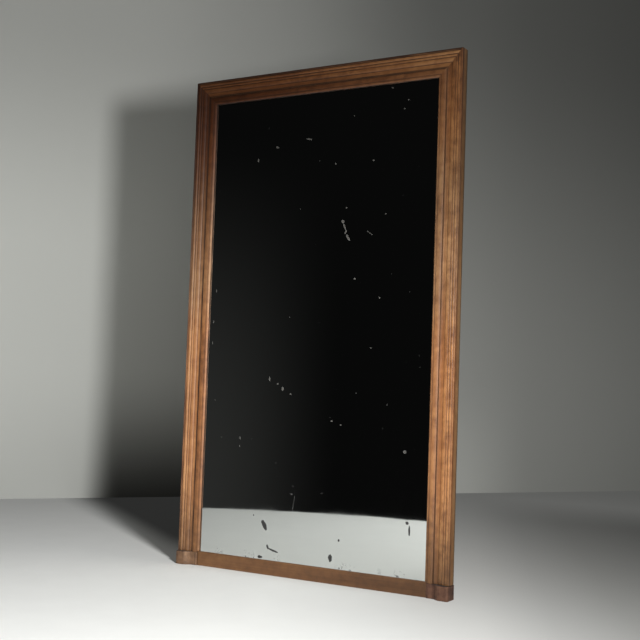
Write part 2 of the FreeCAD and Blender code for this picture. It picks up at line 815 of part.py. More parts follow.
def back_battens():
    """Thin battens on the back of the core, which frame the backboards and touch the wall.

    Each side one is recessed for its hanging plate and cut through for the wall hook's head.
    """
    for word, side in sides.items():
        body = new_body(word + "_back_batten")
        lines = sorted([across(side, size.batten_inset), across(side, frame_width)],
                       key=lambda line: line.value)
        sketch = front_sketch(body, body.Name + "_outline", behind(back_depth))
        draw_box(sketch, lines[0], lines[1], size.block_height, frame_top)
        pad(body, sketch, size.batten_thickness, body.Name + "_thickness")
        recess = front_sketch(body, body.Name + "_recess_sketch", behind(back_depth))
        middle = across(side, size.batten_screw_out)
        wide = size.hanger_width / 2 + size.joint_clearance
        tall = size.hanger_height / 2 + size.joint_clearance
        draw_box(recess, middle - wide, middle + wide, hanger_level - tall, hanger_level + tall)
        pocket(body, recess, size.hanger_thickness, body.Name + "_recess", along_normal=True)
        hook = front_sketch(body, body.Name + "_hook_pocket_sketch", behind(back_depth))
        draw_box(hook, middle - size.hook_pocket_width / 2, middle + size.hook_pocket_width / 2,
                 hanger_level - size.hook_pocket_height / 2, hanger_level + size.hook_pocket_height / 2)
        pocket(body, hook, size.batten_thickness + size.overrun, body.Name + "_hook_pocket",
               along_normal=True)
        countersunk_holes(body, body.Name + "_screw_holes", behind(back_depth),
                          [(middle, level) for level in batten_screw_levels],
                          size.batten_thickness + size.overrun)
        drill(body, body.Name + "_hanger_screw_holes", behind(back_depth), hanger_screw_places(side),
              screw_hole, size.batten_thickness + size.overrun, forwards=True)
    inner = across(1, size.batten_inset)
    for name, low, high, level in (
            ("top_back_batten", above(size.batten_inset), frame_top, above(size.batten_screw_out)),
            ("bottom_back_batten", as_length(0), size.bottom_batten_height,
             size.bottom_batten_height / 2)):
        body = new_body(name)
        sketch = front_sketch(body, name + "_outline", behind(back_depth))
        draw_box(sketch, -inner, inner, low, high)
        pad(body, sketch, size.batten_thickness, name + "_thickness")
        countersunk_holes(body, name + "_screw_holes", behind(back_depth),
                          [(place, level) for place in cross_places],
                          size.batten_thickness + size.overrun)


def backboards():
    """Thin boards laid across the back, one above the other, nailed at both ends."""
    edge = across(1, size.batten_inset - size.board_side_clearance)
    for board in range(board_count):
        body = new_body("backboard_%d" % (board + 1))
        bottom = boards_bottom + board_pitch * board
        sketch = front_sketch(body, body.Name + "_outline", behind(core_back + size.board_thickness))
        draw_box(sketch, -edge, edge, bottom, bottom + board_pitch - size.board_gap)
        pad(body, sketch, size.board_thickness, body.Name + "_thickness")
        places = [(across(side, size.nail_out), level)
                  for side in sides.values() for level in board_nail_levels(board)]
        drill(body, body.Name + "_nail_holes", behind(core_back + size.board_thickness), places,
              nail_hole, size.board_thickness + size.overrun, forwards=True)


def hanging_plates():
    """Flat iron plates let into the battens, each with one hole for a wall hook."""
    for word, side in sides.items():
        body = new_body(word + "_hanging_plate")
        middle = across(side, size.batten_screw_out)
        sketch = front_sketch(body, body.Name + "_outline", behind(back_depth))
        draw_box(sketch, middle - size.hanger_width / 2, middle + size.hanger_width / 2,
                 hanger_level - size.hanger_height / 2, hanger_level + size.hanger_height / 2)
        pad(body, sketch, size.hanger_thickness, body.Name + "_thickness")
        drill(body, body.Name + "_hook_hole", behind(back_depth), [(middle, hanger_level)],
              size.hanger_hole_radius, size.hanger_thickness + size.overrun, forwards=True)
        countersunk_holes(body, body.Name + "_screw_holes", behind(back_depth),
                          hanger_screw_places(side), size.hanger_thickness + size.overrun)


def turned_group(name, profile, first, rows):
    """Round fasteners set square to the front: a half profile (radius, Y) turned and repeated."""
    body = new_body(name)
    sketch = plan_sketch(body, name + "_profile", first[1], shift=first[0])
    draw_outline(sketch, [(as_length(radius), plane) for radius, plane in profile])
    turned = body.newObject("PartDesign::Revolution", name + "_turned")
    turned.Profile = sketch
    turned.ReferenceAxis = (sketch, ["V_Axis"])
    turned.Angle = 360.0
    repeat(body, turned, rows)
    return body


def screw_profile(head_depth, length):
    """Countersunk wood screw driven forwards from a head flush at a depth."""
    back = behind(head_depth)
    tip = behind(head_depth - length)
    return [
        (0, tip),
        (size.screw_radius, tip + size.screw_point),
        (size.screw_radius, back - size.screw_head_height),
        (size.screw_head_radius, back),
        (0, back),
    ]


def rod_profile(radius, front, back):
    """Plain round pin between two planes."""
    return [(0, front), (radius, front), (radius, back), (0, back)]


def fasteners():
    """Screws, nails, pins and pegs, one group for each kind and place."""
    span = across(1, size.moulding_screw_out) * 2
    pitch = moulding_screw_levels[1] - moulding_screw_levels[0]
    turned_group("side_moulding_screws", screw_profile(core_back, size.moulding_screw_length),
                 (across(-1, size.moulding_screw_out), moulding_screw_levels[0]),
                 [("Z_Axis", pitch, moulding_screw_rows), ("X_Axis", span, 2)])
    turned_group("top_moulding_screws", screw_profile(core_back, size.moulding_screw_length),
                 (cross_places[0], above(size.moulding_screw_out)),
                 [("X_Axis", cross_pitch, cross_screw_count)])
    pitch = batten_screw_levels[1] - batten_screw_levels[0]
    span = across(1, size.batten_screw_out) * 2
    turned_group("side_batten_screws", screw_profile(back_depth, size.batten_screw_length),
                 (across(-1, size.batten_screw_out), batten_screw_levels[0]),
                 [("Z_Axis", pitch, batten_screw_rows), ("X_Axis", span, 2)])
    rise = above(size.batten_screw_out) - size.bottom_batten_height / 2
    turned_group("cross_batten_screws", screw_profile(back_depth, size.batten_screw_length),
                 (cross_places[0], size.bottom_batten_height / 2),
                 [("X_Axis", cross_pitch, cross_screw_count), ("Z_Axis", rise, 2)])
    turned_group("hanging_plate_screws", screw_profile(back_depth, size.hanger_screw_length),
                 hanger_screw_places(-1)[0],
                 [("X_Axis", hanger_screw_span, 2), ("Z_Axis", hanger_screw_rise, 2),
                  ("X_Axis", span, 2)])
    face = behind(core_back + size.board_thickness)
    levels = board_nail_levels(0)
    nail = [
        (0, face - size.nail_length),
        (size.nail_radius, face - size.nail_length + size.nail_radius),
        (size.nail_radius, face),
        (size.nail_head_radius, face),
        (size.nail_head_radius, face + size.nail_head_height),
        (0, face + size.nail_head_height),
    ]
    turned_group("backboard_nails", nail, (across(-1, size.nail_out), levels[0]),
                 [("Z_Axis", levels[1] - levels[0], 2), ("Z_Axis", board_pitch, board_count),
                  ("X_Axis", across(1, size.nail_out) * 2, 2)])
    pin = rod_profile(size.pin_radius, behind(-size.pin_cover), behind(size.pin_length - size.pin_cover))
    turned_group("side_sight_pins", pin, (across(-1, size.pin_out), pin_levels[0]),
                 [("Z_Axis", pin_levels[1] - pin_levels[0], pin_rows),
                  ("X_Axis", across(1, size.pin_out) * 2, 2)])
    turned_group("top_sight_pins", pin, (cross_pin_places[0], above(size.pin_out)),
                 [("X_Axis", cross_pin_places[1] - cross_pin_places[0], cross_pin_count)])
    turned_group("frame_pegs", rod_profile(size.peg_radius, behind(size.core_setback), behind(core_back)),
                 (across(-1, peg_out), peg_levels[0]),
                 [("Z_Axis", size.peg_offset * 2, 2), ("X_Axis", across(1, peg_out) * 2, 2)])
    turned_group("rail_pegs", rod_profile(size.rail_peg_radius, behind(core_back - size.rail_peg_length),
                                          behind(core_back)),
                 (across(-1, rail_peg_out), rail_peg_level),
                 [("X_Axis", across(1, rail_peg_out) * 2, 2)])


def block_dowels():
    """Four upright dowels that join the core stiles to the plinth blocks."""
    body = new_body("block_dowels")
    sketch = plan_sketch(body, "block_dowels_sketch", size.block_height - size.dowel_length / 2)
    draw_circles(sketch, [(across(-1, size.dowel_outer), behind(dowel_depth))], size.dowel_radius)
    dowel = pad(body, sketch, size.dowel_length, "block_dowels_length")
    spacing = size.dowel_outer - size.dowel_inner
    span = size.opening_width + size.dowel_outer + size.dowel_inner
    repeat(body, dowel, [("X_Axis", spacing, 2), ("X_Axis", span, 2)])


def is_piece(item):
    """Bodies and boxes are the pieces of the mirror. Sketches and features belong to them."""
    return item.TypeId in ("PartDesign::Body", "Part::Box")


def check_document():
    """Stops with a plain message where an object failed or a cut took nothing away."""
    for item in document.Objects:
        if "Invalid" in item.State or "Error" in item.State:
            raise RuntimeError("%s did not build: %s" % (item.Name, item.State))
        if item.TypeId == "PartDesign::Pocket" and item.Shape.Volume >= item.BaseFeature.Shape.Volume:
            raise RuntimeError("%s cuts nothing" % item.Name)
        if is_piece(item) and (item.Shape.isNull() or not item.Shape.isValid()):
            raise RuntimeError("%s has no valid shape" % item.Name)


outer_mouldings()
sight_mouldings()
bottom_rail()
plinth_blocks()
core_stiles()
top_core_rail()
mirror_plate()
glass_blocks()
plate_rests()
back_battens()
backboards()
hanging_plates()
fasteners()
block_dowels()
document.recompute()
check_document()

os.makedirs("parts", exist_ok=True)
for piece in filter(is_piece, document.Objects):
    piece.Shape.exportStep("parts/%s.step" % piece.Label)
    box = piece.Shape.BoundBox
    print("%-24s solids %2d  x %8.1f %8.1f  y %7.1f %7.1f  z %8.1f %8.1f" % (
        piece.Label, len(piece.Shape.Solids), box.XMin, box.XMax, box.YMin, box.YMax, box.ZMin, box.ZMax))
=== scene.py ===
import math
import random
import bpy
from mathutils import Matrix, Vector, noise


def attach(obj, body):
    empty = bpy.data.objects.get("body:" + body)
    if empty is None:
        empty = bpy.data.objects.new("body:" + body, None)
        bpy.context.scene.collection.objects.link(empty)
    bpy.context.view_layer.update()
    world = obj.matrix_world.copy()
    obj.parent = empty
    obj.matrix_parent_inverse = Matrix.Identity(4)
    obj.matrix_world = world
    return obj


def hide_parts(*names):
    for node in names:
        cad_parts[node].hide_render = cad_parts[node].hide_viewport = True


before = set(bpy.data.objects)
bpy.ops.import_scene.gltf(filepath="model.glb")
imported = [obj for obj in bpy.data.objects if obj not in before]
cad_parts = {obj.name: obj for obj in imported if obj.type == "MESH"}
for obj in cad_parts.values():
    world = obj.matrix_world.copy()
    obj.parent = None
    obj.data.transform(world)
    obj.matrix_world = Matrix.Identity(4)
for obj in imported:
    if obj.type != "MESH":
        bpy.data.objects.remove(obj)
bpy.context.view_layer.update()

# Core frame: two stiles and a top rail of oak that carry the mouldings, with pegged mortise and
# tenon corners. Only its side edges and its back show, dry and browned by age. The pegs and the
# dowels into the feet are of the same wood.
MM = 0.001


class Shade:
    """One output of a material's nodes. Sums and products of shades add Math nodes."""

    def __init__(self, tree, socket=None):
        self.tree = tree
        self.socket = socket

    def node(self, kind, settings=None, values=None, output=0):
        """Adds a node, applies its settings, fills or links its sockets and gives one output."""
        made = self.tree.nodes.new("ShaderNode" + kind)
        for key, setting in (settings or {}).items():
            if key == "stops":
                ends = made.color_ramp.elements
                while len(ends) < len(setting):
                    ends.new(1.0)
                for stop, (position, colour) in zip(ends, setting):
                    stop.position = position
                    stop.color = colour
            else:
                setattr(made, key, setting)
        for key, value in (values or {}).items():
            if isinstance(value, Shade):
                self.tree.links.new(value.socket, made.inputs[key])
            else:
                made.inputs[key].default_value = value
        return Shade(self.tree, made.outputs[output])

    def math(self, operation, *terms):
        return self.node("Math", {"operation": operation}, dict(enumerate(terms)))

    def __add__(self, other):
        return self.math("ADD", self, other)

    def __sub__(self, other):
        return self.math("SUBTRACT", self, other)

    def __rsub__(self, other):
        return self.math("SUBTRACT", other, self)

    def __mul__(self, other):
        return self.math("MULTIPLY", self, other)

    __radd__ = __add__
    __rmul__ = __mul__

    def within(self, low, high):
        """0 below low, 1 above high, and a smooth rise between them. Low may be above high."""
        return self.node("MapRange", {"interpolation_type": "SMOOTHSTEP"},
                         {"Value": self, "From Min": low, "From Max": high})

    def greater(self, other):
        return self.math("MAXIMUM", self, other)

    def vector(self, operation, other):
        return self.node("VectorMath", {"operation": operation}, {0: self, 1: other})

    def length(self):
        return self.node("VectorMath", {"operation": "LENGTH"}, {0: self}, 1)

    def ramp(self, *stops):
        """Colour read from stops of (position, colour)."""
        return self.node("ValToRGB", {"stops": stops}, {"Fac": self})

    def part(self, axis):
        """One coordinate of a position."""
        return self.node("SeparateXYZ", None, {0: self}, "XYZ".index(axis))

    def mixed(self, first, second):
        """Colour that goes from the first to the second as this value goes from 0 to 1."""
        return self.node("Mix", {"data_type": "RGBA"}, {0: self, 6: first, 7: second}, 2)

    def speckle(self, scale, detail=4.0, roughness=0.5, distortion=0.0):
        """Noise read at this position."""
        return self.node("TexNoise", None, {"Vector": self, "Scale": scale, "Detail": detail,
                                            "Roughness": roughness, "Distortion": distortion})


def paint(red, green, blue):
    """Linear colour of an sRGB one given from 0 to 255."""
    def linear(level):
        level = level / 255
        return level / 12.92 if level <= 0.04045 else ((level + 0.055) / 1.055) ** 2.4
    return (linear(red), linear(green), linear(blue), 1.0)


class Finish:
    """A material with one Principled shader. Its constants stand on the shader's own sockets."""

    def __init__(self, name, **constants):
        self.material = bpy.data.materials.new(name)
        self.material.use_nodes = True
        self.tree = self.material.node_tree
        self.shader = self.tree.nodes["Principled BSDF"]
        for key, value in constants.items():
            self.shader.inputs[key.replace("_", " ")].default_value = value
        self.place = Shade(self.tree).node("TexCoord", output=3)

    def drive(self, **surface):
        for key, shade in surface.items():
            self.tree.links.new(shade.socket, self.shader.inputs[key.replace("_", " ")])

    def relief(self, height, depth, strength=1.0):
        """Bumps of a depth in metres for a height from 0 to 1."""
        self.drive(Normal=height.node("Bump", None, {"Strength": strength, "Distance": depth,
                                                     "Height": height}))

    def dress(self, *names):
        for name in names:
            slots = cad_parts[name].data.materials
            slots.clear()
            slots.append(self.material)


GRAIN_SQUEEZE = 0.014
DIRT_AND_SHADE_LEVEL = 0.24


def along_grain(place, axis, seed):
    """The position, squeezed along the grain and moved to another part of the tree."""
    squeeze = [1.0, 1.0, 1.0]
    squeeze["XYZ".index(axis)] = GRAIN_SQUEEZE
    moved = place.vector("MULTIPLY", squeeze)
    return moved.vector("ADD", (seed * 1.7, seed * 0.9, seed * 2.3))


def timber(name, axis, seed, tones, sheen, age=0.5, height_shading=False, mottle=0.46, scratch=0.22):
    """Old solid wood with its grain along an axis: broad figure, fine lines and open pores.

    Tones are the dark, middle and pale colour, and sheen is the bare wood's roughness. Age sets how
    much dirt there is, mottle how uneven the colour is, and scratch the depth of its marks in
    millimetres. With height shading, the wood gets painted shade towards the top left, where the
    lamp's light falls off, a greyer painted sheen half way up, and a darker, greyer foot.
    """
    finish = Finish(name, Specular_IOR_Level=0.5)
    dark, middle, pale = tones
    grain = along_grain(finish.place, axis, seed)
    figure = grain.speckle(scale=30.0, detail=4.0, roughness=0.5, distortion=0.4)
    lines = grain.speckle(scale=240.0, detail=3.0, roughness=0.6)
    pores = grain.speckle(scale=900.0, detail=2.0, roughness=0.5).within(0.62, 0.72)
    drift = finish.place.vector("ADD", (seed, -seed, seed)).speckle(scale=4.5, detail=3.0)
    blotches = finish.place.vector("ADD", (-seed, seed, seed)).speckle(
        scale=34.0, detail=4.0, roughness=0.6)
    worn, grime, stain = [finish.place.node("Attribute", {"attribute_name": mark}, output=2)
                          for mark in ("worn", "grime", "stain")]
    tone = figure * 0.55 + lines * 0.24 + drift * 0.55 + blotches * mottle - (0.17 + mottle * 0.5)
    wood = tone.ramp((0.18, dark), (0.50, middle), (0.84, pale))
    # Worn crests turn pale, which is wear and also a painted highlight.
    rubbed_and_highlit = worn * blotches.within(0.25, 0.7) * 0.8
    wood = rubbed_and_highlit.mixed(wood, pale)
    wood = (stain * (0.6 + figure * 0.6)).mixed(wood, DARK_EDGE)
    deep = tuple(DIRT_AND_SHADE_LEVEL * level for level in dark[:3]) + (1.0,)
    # Painted shade to the top left, a darker, greyer foot and a painted sheen half way up.
    if height_shading:
        to_top_left = finish.place.part("Z") - finish.place.part("X") * 0.5 + (drift - 0.5) * 0.3
        level = finish.place.part("Z") + blotches * 0.1
        for mask, tint in ((to_top_left.within(1.2, 2.1), TOP_LEFT_SHADE),
                           (level.within(0.50, 0.10), FOOT_TINT),
                           (level.within(0.95, 1.20) * level.within(1.80, 1.55), PAINTED_SHEEN_TINT)):
            wood = wood.node("Mix", {"data_type": "RGBA", "blend_type": "MULTIPLY"},
                             {0: mask, 6: wood, 7: tint}, 2)
    # Grime is dirt, and painted shade in the hollows and beside the quirks; it darkens the wood.
    soiled_and_shaded = grime * 1.05 + pores * 0.22 + blotches.within(0.60, 0.78) * age * 0.3
    wood = soiled_and_shaded.within(0.0, 1.1).mixed(wood, deep)
    finish.drive(Base_Color=wood,
                 Roughness=sheen + figure * 0.10 - rubbed_and_highlit * 0.06 + soiled_and_shaded * 0.45 + stain * 0.3)
    finish.relief(lines * 0.4 + blotches * 0.4 - pores * 0.6 - grime * 0.2, scratch * MM)
    return finish


# Colours that multiply the wood: painted shade to the top left, a darker, greyer foot, and a
# painted sheen half way up.
TOP_LEFT_SHADE = (0.27, 0.185, 0.14, 1.0)
FOOT_TINT = (0.64, 0.70, 0.74, 1.0)
PAINTED_SHEEN_TINT = (0.88, 1.02, 1.22, 1.0)
DARK_EDGE = paint(94, 58, 34)
OAK_TONES = (paint(102, 69, 40), paint(151, 107, 67), paint(182, 138, 92))
for name, axis, seed, sheen, age, pieces in (
        ("core_oak_upright", "Z", 3.1, 0.62, 0.9, ("left_core_stile", "right_core_stile")),
        ("core_oak_cross", "X", 5.4, 0.62, 0.9, ("top_core_rail",)),
        ("peg_oak", "Y", 7.7, 0.6, 0.8, ("frame_pegs", "rail_pegs")),
        ("dowel_oak", "Z", 8.2, 0.6, 0.8, ("block_dowels",))):
    timber(name, axis, seed, OAK_TONES, sheen, age).dress(*pieces)

# Outer mouldings: three walnut strips, planed to a cove, a broad and a narrower reed, a roll and a
# flat band stained dark, then mitred at the top corners and screwed on from behind. Wear has
# softened every arris and paled the crests, which also carry painted highlight. Dirt and painted
# shade lie in the grooves. Sizes are in millimetres.
HALF_OPENING = 506.0
OPENING_TOP = 1907.0
SIGHT_PLANE = -3.0
BLOCK_TOP = 53.0
QUIRK_START = 33.0
MOULDING_WIDTH = 65.0
MOULDING_CROWN = 13.0
CORE_SETBACK = 2.0
EDGE_BAND = 90.0
MOULDING_ARRIS = 0.6
# Each corner is a share of the width and of the crown, then how far the edge after it bows out.
moulding_front = [
    (0.000, 0.092), (0.015, 0.092, -0.090), (0.262, 0.123), (0.271, -0.015), (0.286, -0.015),
    (0.286, 0.123, 0.130), (0.532, 0.460), (0.542, 0.354), (0.554, 0.354),
    (0.554, 0.477, 0.092), (0.686, 0.585), (0.695, 0.492), (0.706, 0.492),
    (0.706, 0.600, 0.146), (0.866, 0.785), (0.875, 0.692), (0.886, 0.692),
    (0.886, 0.938), (0.905, 0.985), (0.975, 1.000, 0.035), (1.000, 0.870),
]


def section(front, start, width, crown, back):
    """A moulding's section: its front line of shares in millimetres, closed by its back corners."""
    return [(start + width * across, crown * rise) + tuple(crown * share for share in bow)
            for across, rise, *bow in front] + back


LONGEST_STEP = 2.6
SHARP_TURN = 0.35
LEAST_RUBBED = 0.4
PROUD_RISE = 16


def fine_line(corners, arris, dirt_and_shade_reach=1.1, stained=lambda out, rise: 0.0, dark_places=()):
    """Closed line of (out, rise, worn, grime, stain): arcs in steps and every corner softened.

    A third number on a corner is how far the edge after it bows forwards. Dirt and painted shade
    lie within its reach of each inner corner, and round the dark places, each (out, rise, reach).
    The wood that stands proudest wears most, and its paler colour there is also a painted
    highlight.
    """
    points = []
    for here, following in zip(corners, corners[1:] + corners[:1]):
        run, climb = following[0] - here[0], following[1] - here[1]
        length = math.hypot(run, climb)
        bow = here[2] if len(here) == 3 else 0.0
        points.append((here[0], here[1], 0.0, True))
        steps = math.ceil(length / LONGEST_STEP)
        for step in range(1, steps):
            share = step / steps
            crest = 4 * share * (1 - share)
            points.append((here[0] + run * share - climb / length * bow * crest,
                           here[1] + climb * share + run / length * bow * crest,
                           0.8 * crest if bow > 0 else 0.0, False))
    soft, hollows = [], []
    for index, (x, y, worn, corner) in enumerate(points):
        before, after = points[index - 1], points[(index + 1) % len(points)]
        way_in = Vector((x - before[0], y - before[1]))
        way_out = Vector((after[0] - x, after[1] - y))
        turn = way_in.normalized().cross(way_out.normalized())
        if not corner or abs(turn) < SHARP_TURN:
            soft.append((x, y, worn))
            continue
        if turn > 0:
            hollows.append((x, y, dirt_and_shade_reach))
        cut = min(arris, way_in.length * 0.4, way_out.length * 0.4)
        first = Vector((x, y)) - way_in.normalized() * cut
        last = Vector((x, y)) + way_out.normalized() * cut
        middle = (first + last + Vector((x, y)) * 2) / 4
        soft += [tuple(place) + (0.5 if turn < 0 else 0.0,) for place in (first, middle, last)]
    hollows += dark_places
    line = []
    for x, y, worn in soft:
        grime = max([math.exp(-(math.hypot(x - at_x, y - at_y) / reach) ** 3)
                     for at_x, at_y, reach in hollows] + [0.0])
        proud = min(1.0, LEAST_RUBBED + max(y, 0.0) / PROUD_RISE)
        line.append((x, y, worn * proud * (1 - grime), grime, stained(x, y)))
    return line


def outward(line):
    """Unit normals of the closed line, pointing out of the wood."""
    normals = []
    for index in range(len(line)):
        before, after = line[index - 1], line[(index + 1) % len(line)]
        way = Vector((after[0] - before[0], after[1] - before[1])).normalized()
        normals.append(Vector((-way.y, way.x)))
    return normals


STATION_PITCH = 7.0


def stations(length, ends):
    """Places along a bar as (share of its length, offset, inset), closer at its eased ends."""
    count = max(2, int(length / STATION_PITCH))
    body = [(step / count, 0.0, 0.0) for step in range(1, count)]
    start = [(0.0, offset, inset) for offset, inset in ends]
    finish = [(1.0, -offset, inset) for offset, inset in reversed(ends)]
    return start + body + finish


MITRE_ENDS = ((0.0, 0.3), (0.5, 0.0))
DENT_RADII = (2.0, 6.0)
DENT_DEPTHS = (0.15, 0.6)
DENT_FADE = 1.6
DENTED_IF_WORN = 0.3
# How fast the wear changes along a bar and across it, for its slow and its quick unevenness.
SLOW_ALONG, SLOW_ACROSS = 0.011, 0.05
QUICK_ALONG, QUICK_ACROSS = 0.09, 0.3


def planed_bar(name, line, place_at, length, seed, ends=MITRE_ENDS, wear=0.3, knocks=30,
               rubbing=1.0, end_dirt=0.35):
    """A bar of worn wood. place_at gives the point for (out, rise, share, offset) in millimetres.

    Wear is how much the proudest wood has lost, and the other factor how pale it turns, which is
    wear and painted highlight. Of the knocks, only those on proud wood leave a dent. End dirt
    darkens the eased ends.
    """
    dice = random.Random(seed)
    normals = outward(line)
    dents = [(dice.uniform(0, length), dice.choice(line), dice.uniform(*DENT_RADII),
              dice.uniform(*DENT_DEPTHS)) for _ in range(knocks)]
    dents = [dent for dent in dents if dent[1][2] > DENTED_IF_WORN]
    verts, marks = [], {"worn": [], "grime": [], "stain": []}
    rings = stations(length, ends)
    for share, offset, inset in rings:
        run = share * length + offset
        near = [dent for dent in dents if abs(run - dent[0]) < dent[2] * DENT_FADE]
        end_grime = end_dirt if inset else 0.0
        for index, (out, rise, rub, dirt, stain) in enumerate(line):
            drift = noise.noise(Vector((run * SLOW_ALONG, out * SLOW_ACROSS, seed)))
            chatter = noise.noise(Vector((run * QUICK_ALONG, out * QUICK_ACROSS, seed + 9.0)))
            depth = inset + wear * rub * (0.7 + 0.8 * drift + 0.3 * chatter)
            for where, spot, radius, deep in near:
                reach = math.hypot(run - where, out - spot[0], rise - spot[1]) / radius
                depth += deep * math.exp(-2.0 * reach * reach)
            shift = normals[index] * -max(depth, 0.0)
            verts.append(Vector(place_at(out + shift.x, rise + shift.y, share, offset)) * MM)
            marks["worn"].append(min(1.0, max(0.0, rubbing * rub * (0.75 + 0.9 * drift))))
            marks["grime"].append(min(1.0, dirt * (0.9 + 0.5 * drift) + end_grime))
            marks["stain"].append(stain * (0.8 + 0.5 * drift))
    size = len(line)
    faces = [tuple(range(size)), tuple(reversed(range(len(verts) - size, len(verts))))]
    for low in range(0, len(verts) - size, size):
        for index in range(size):
            beside = (index + 1) % size
            faces.append((low + index, low + beside, low + size + beside, low + size + index))
    return solid_piece(name, verts, faces, marks)


SOFT_ANGLE = math.radians(32.0)


def solid_piece(name, verts, faces, marks):
    """Mesh object from points and faces, with its marks stored on the points."""
    mesh = bpy.data.meshes.new(name)
    mesh.from_pydata([tuple(v) for v in verts], [], faces)
    mesh.validate()
    for mark, values in marks.items():
        mesh.attributes.new(mark, "FLOAT", "POINT").data.foreach_set("value", values)
    piece = bpy.data.objects.new(name, mesh)
    bpy.context.scene.collection.objects.link(piece)
    bpy.context.view_layer.objects.active = piece
    piece.select_set(True)
    bpy.ops.object.mode_set(mode="EDIT")
    bpy.ops.mesh.select_all(action="SELECT")
    bpy.ops.mesh.normals_make_consistent(inside=False)
    bpy.ops.object.mode_set(mode="OBJECT")
    piece.select_set(False)
    mesh.shade_smooth()
    mesh.set_sharp_from_angle(angle=SOFT_ANGLE)
    return piece


def stand_for(piece, finish, slot, *replaced):
    """Gives a piece its finish and sets it in place of CAD nodes."""
    piece.data.materials.append(finish.material)
    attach(piece, "root")
    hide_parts(*replaced)


def block_level(out):
    """The outer strips stand on the blocks."""
    return BLOCK_TOP


def upright(side, foot):
    """Places a section along a side, from its foot's height to the mitre at the top."""
    def place(out, rise, share, offset):
        low, high = foot(out), OPENING_TOP + out
        height = low + (high - low) * share + offset
        return ((HALF_OPENING + out) * side, SIGHT_PLANE - rise, height)
    return place


def across_head(out, rise, share, offset):
    """Places a section along the top, between its two mitres."""
    half = HALF_OPENING + out
    return (half * (2 * share - 1) + offset, SIGHT_PLANE - rise, OPENING_TOP + out)


side_length = OPENING_TOP + QUIRK_START + MOULDING_WIDTH / 2 - BLOCK_TOP
head_length = 2 * HALF_OPENING + 2 * QUIRK_START + MOULDING_WIDTH


def strip(kind, word, line, seed, tones, sheen, foot=block_level, **wearing):
    """One mitred strip of the outer or sight moulding, in walnut of its own."""
    if word == "top":
        axis, place_at, length = "X", across_head, head_length
    else:
        axis, place_at, length = "Z", upright(-1 if word == "left" else 1, foot), side_length
    name = word + "_" + kind
    piece = planed_bar(name + "_moulding_wood", line, place_at, length, seed, **wearing)
    finish = timber(name + "_walnut", axis, seed, tones, sheen, height_shading=True)
    slot = "moulding_walnut" if kind == "outer" else "sight_walnut"
    stand_for(piece, finish, slot, name + "_moulding")


def outer_line(dirt_and_shade_reach, stain, *dark_places):
    """Line of the outer moulding, its edge band stained, with dirt and painted shade in its grooves
    and in the places named.
    """
    back = [(QUIRK_START + MOULDING_WIDTH, -CORE_SETBACK), (QUIRK_START, -CORE_SETBACK)]
    corners = section(moulding_front, QUIRK_START, MOULDING_WIDTH, MOULDING_CROWN, back)
    return fine_line(corners, MOULDING_ARRIS, dirt_and_shade_reach,
                     lambda out, rise: stain if out > EDGE_BAND else 0.0, dark_places)


WALNUT_TONES = (paint(90, 53, 29), paint(146, 96, 57), paint(188, 135, 86))
RED_WALNUT = (paint(90, 53, 30), paint(151, 98, 57), paint(210, 150, 95))
GOLDEN_TONES = (paint(114, 72, 40), paint(180, 125, 75), paint(226, 172, 112))
# Places darkened, each out, rise and reach: the left cove and the top quirk hold painted shadow
# cast by the sight moulding, the top roll's outer edge holds painted shade where it faces up, and
# the right quirk holds dirt.
cove_painted_shadow = (35.0, 0.5, 5.0)
roll_painted_shade = (96.5, 11.0, 4.5)
strip("outer", "left", outer_line(1.6, 1.0, cove_painted_shadow), 11.0, WALNUT_TONES, 0.46, rubbing=0.45)
strip("outer", "right", outer_line(1.0, 0.4, (QUIRK_START, 0.4, 2.4)), 23.0, RED_WALNUT, 0.40,
      rubbing=1.3)
strip("outer", "top", outer_line(1.9, 1.0, (QUIRK_START, 0.4, 4.2), roll_painted_shade), 37.0, GOLDEN_TONES,
      0.38, rubbing=1.6)

# Sight mouldings: narrow walnut strips beside the glass, pinned to the core. Each has a lip that
# rises from the glass, a fine groove and a wide reed. Dirt has blackened the lip's inner edge.
DARK_WALNUT = (paint(82, 48, 26), paint(136, 88, 51), paint(178, 126, 79))
SIGHT_WIDTH = 31.0
SIGHT_CROWN = 5.5
LIP_REACH = 14.0
LIP_DEPTH = 6.0
RAIL_TOP = 57.0
BLOCK_INSET = 7.5
SIGHT_ARRIS = 0.5
lip_dirt = (-0.8, -4.5, 3.2)
sight_front = [
    (0.000, 0.000, 0.236), (0.290, 0.764), (0.303, 0.582), (0.326, 0.582),
    (0.326, 0.764, 0.255), (0.955, 0.800), (1.000, 0.582),
]


def sight_line(quirk_dirt_and_shade_reach):
    """Line of the sight moulding, with dirt and painted shade in the quirk and dirt on the lip's
    edge.
    """
    back = [(SIGHT_WIDTH, -CORE_SETBACK), (LIP_REACH, -CORE_SETBACK), (LIP_REACH, -LIP_DEPTH),
            (BLOCK_INSET, -LIP_DEPTH), (0.0, -LIP_DEPTH)]
    corners = section(sight_front, 0.0, SIGHT_WIDTH, SIGHT_CROWN, back)
    return fine_line(corners, SIGHT_ARRIS, dark_places=[(SIGHT_WIDTH, 0.4, quirk_dirt_and_shade_reach), lip_dirt])


def sight_foot(out):
    """The strip stands on the block, and its lip on the rail."""
    return RAIL_TOP if out < BLOCK_INSET - 0.1 else BLOCK_TOP


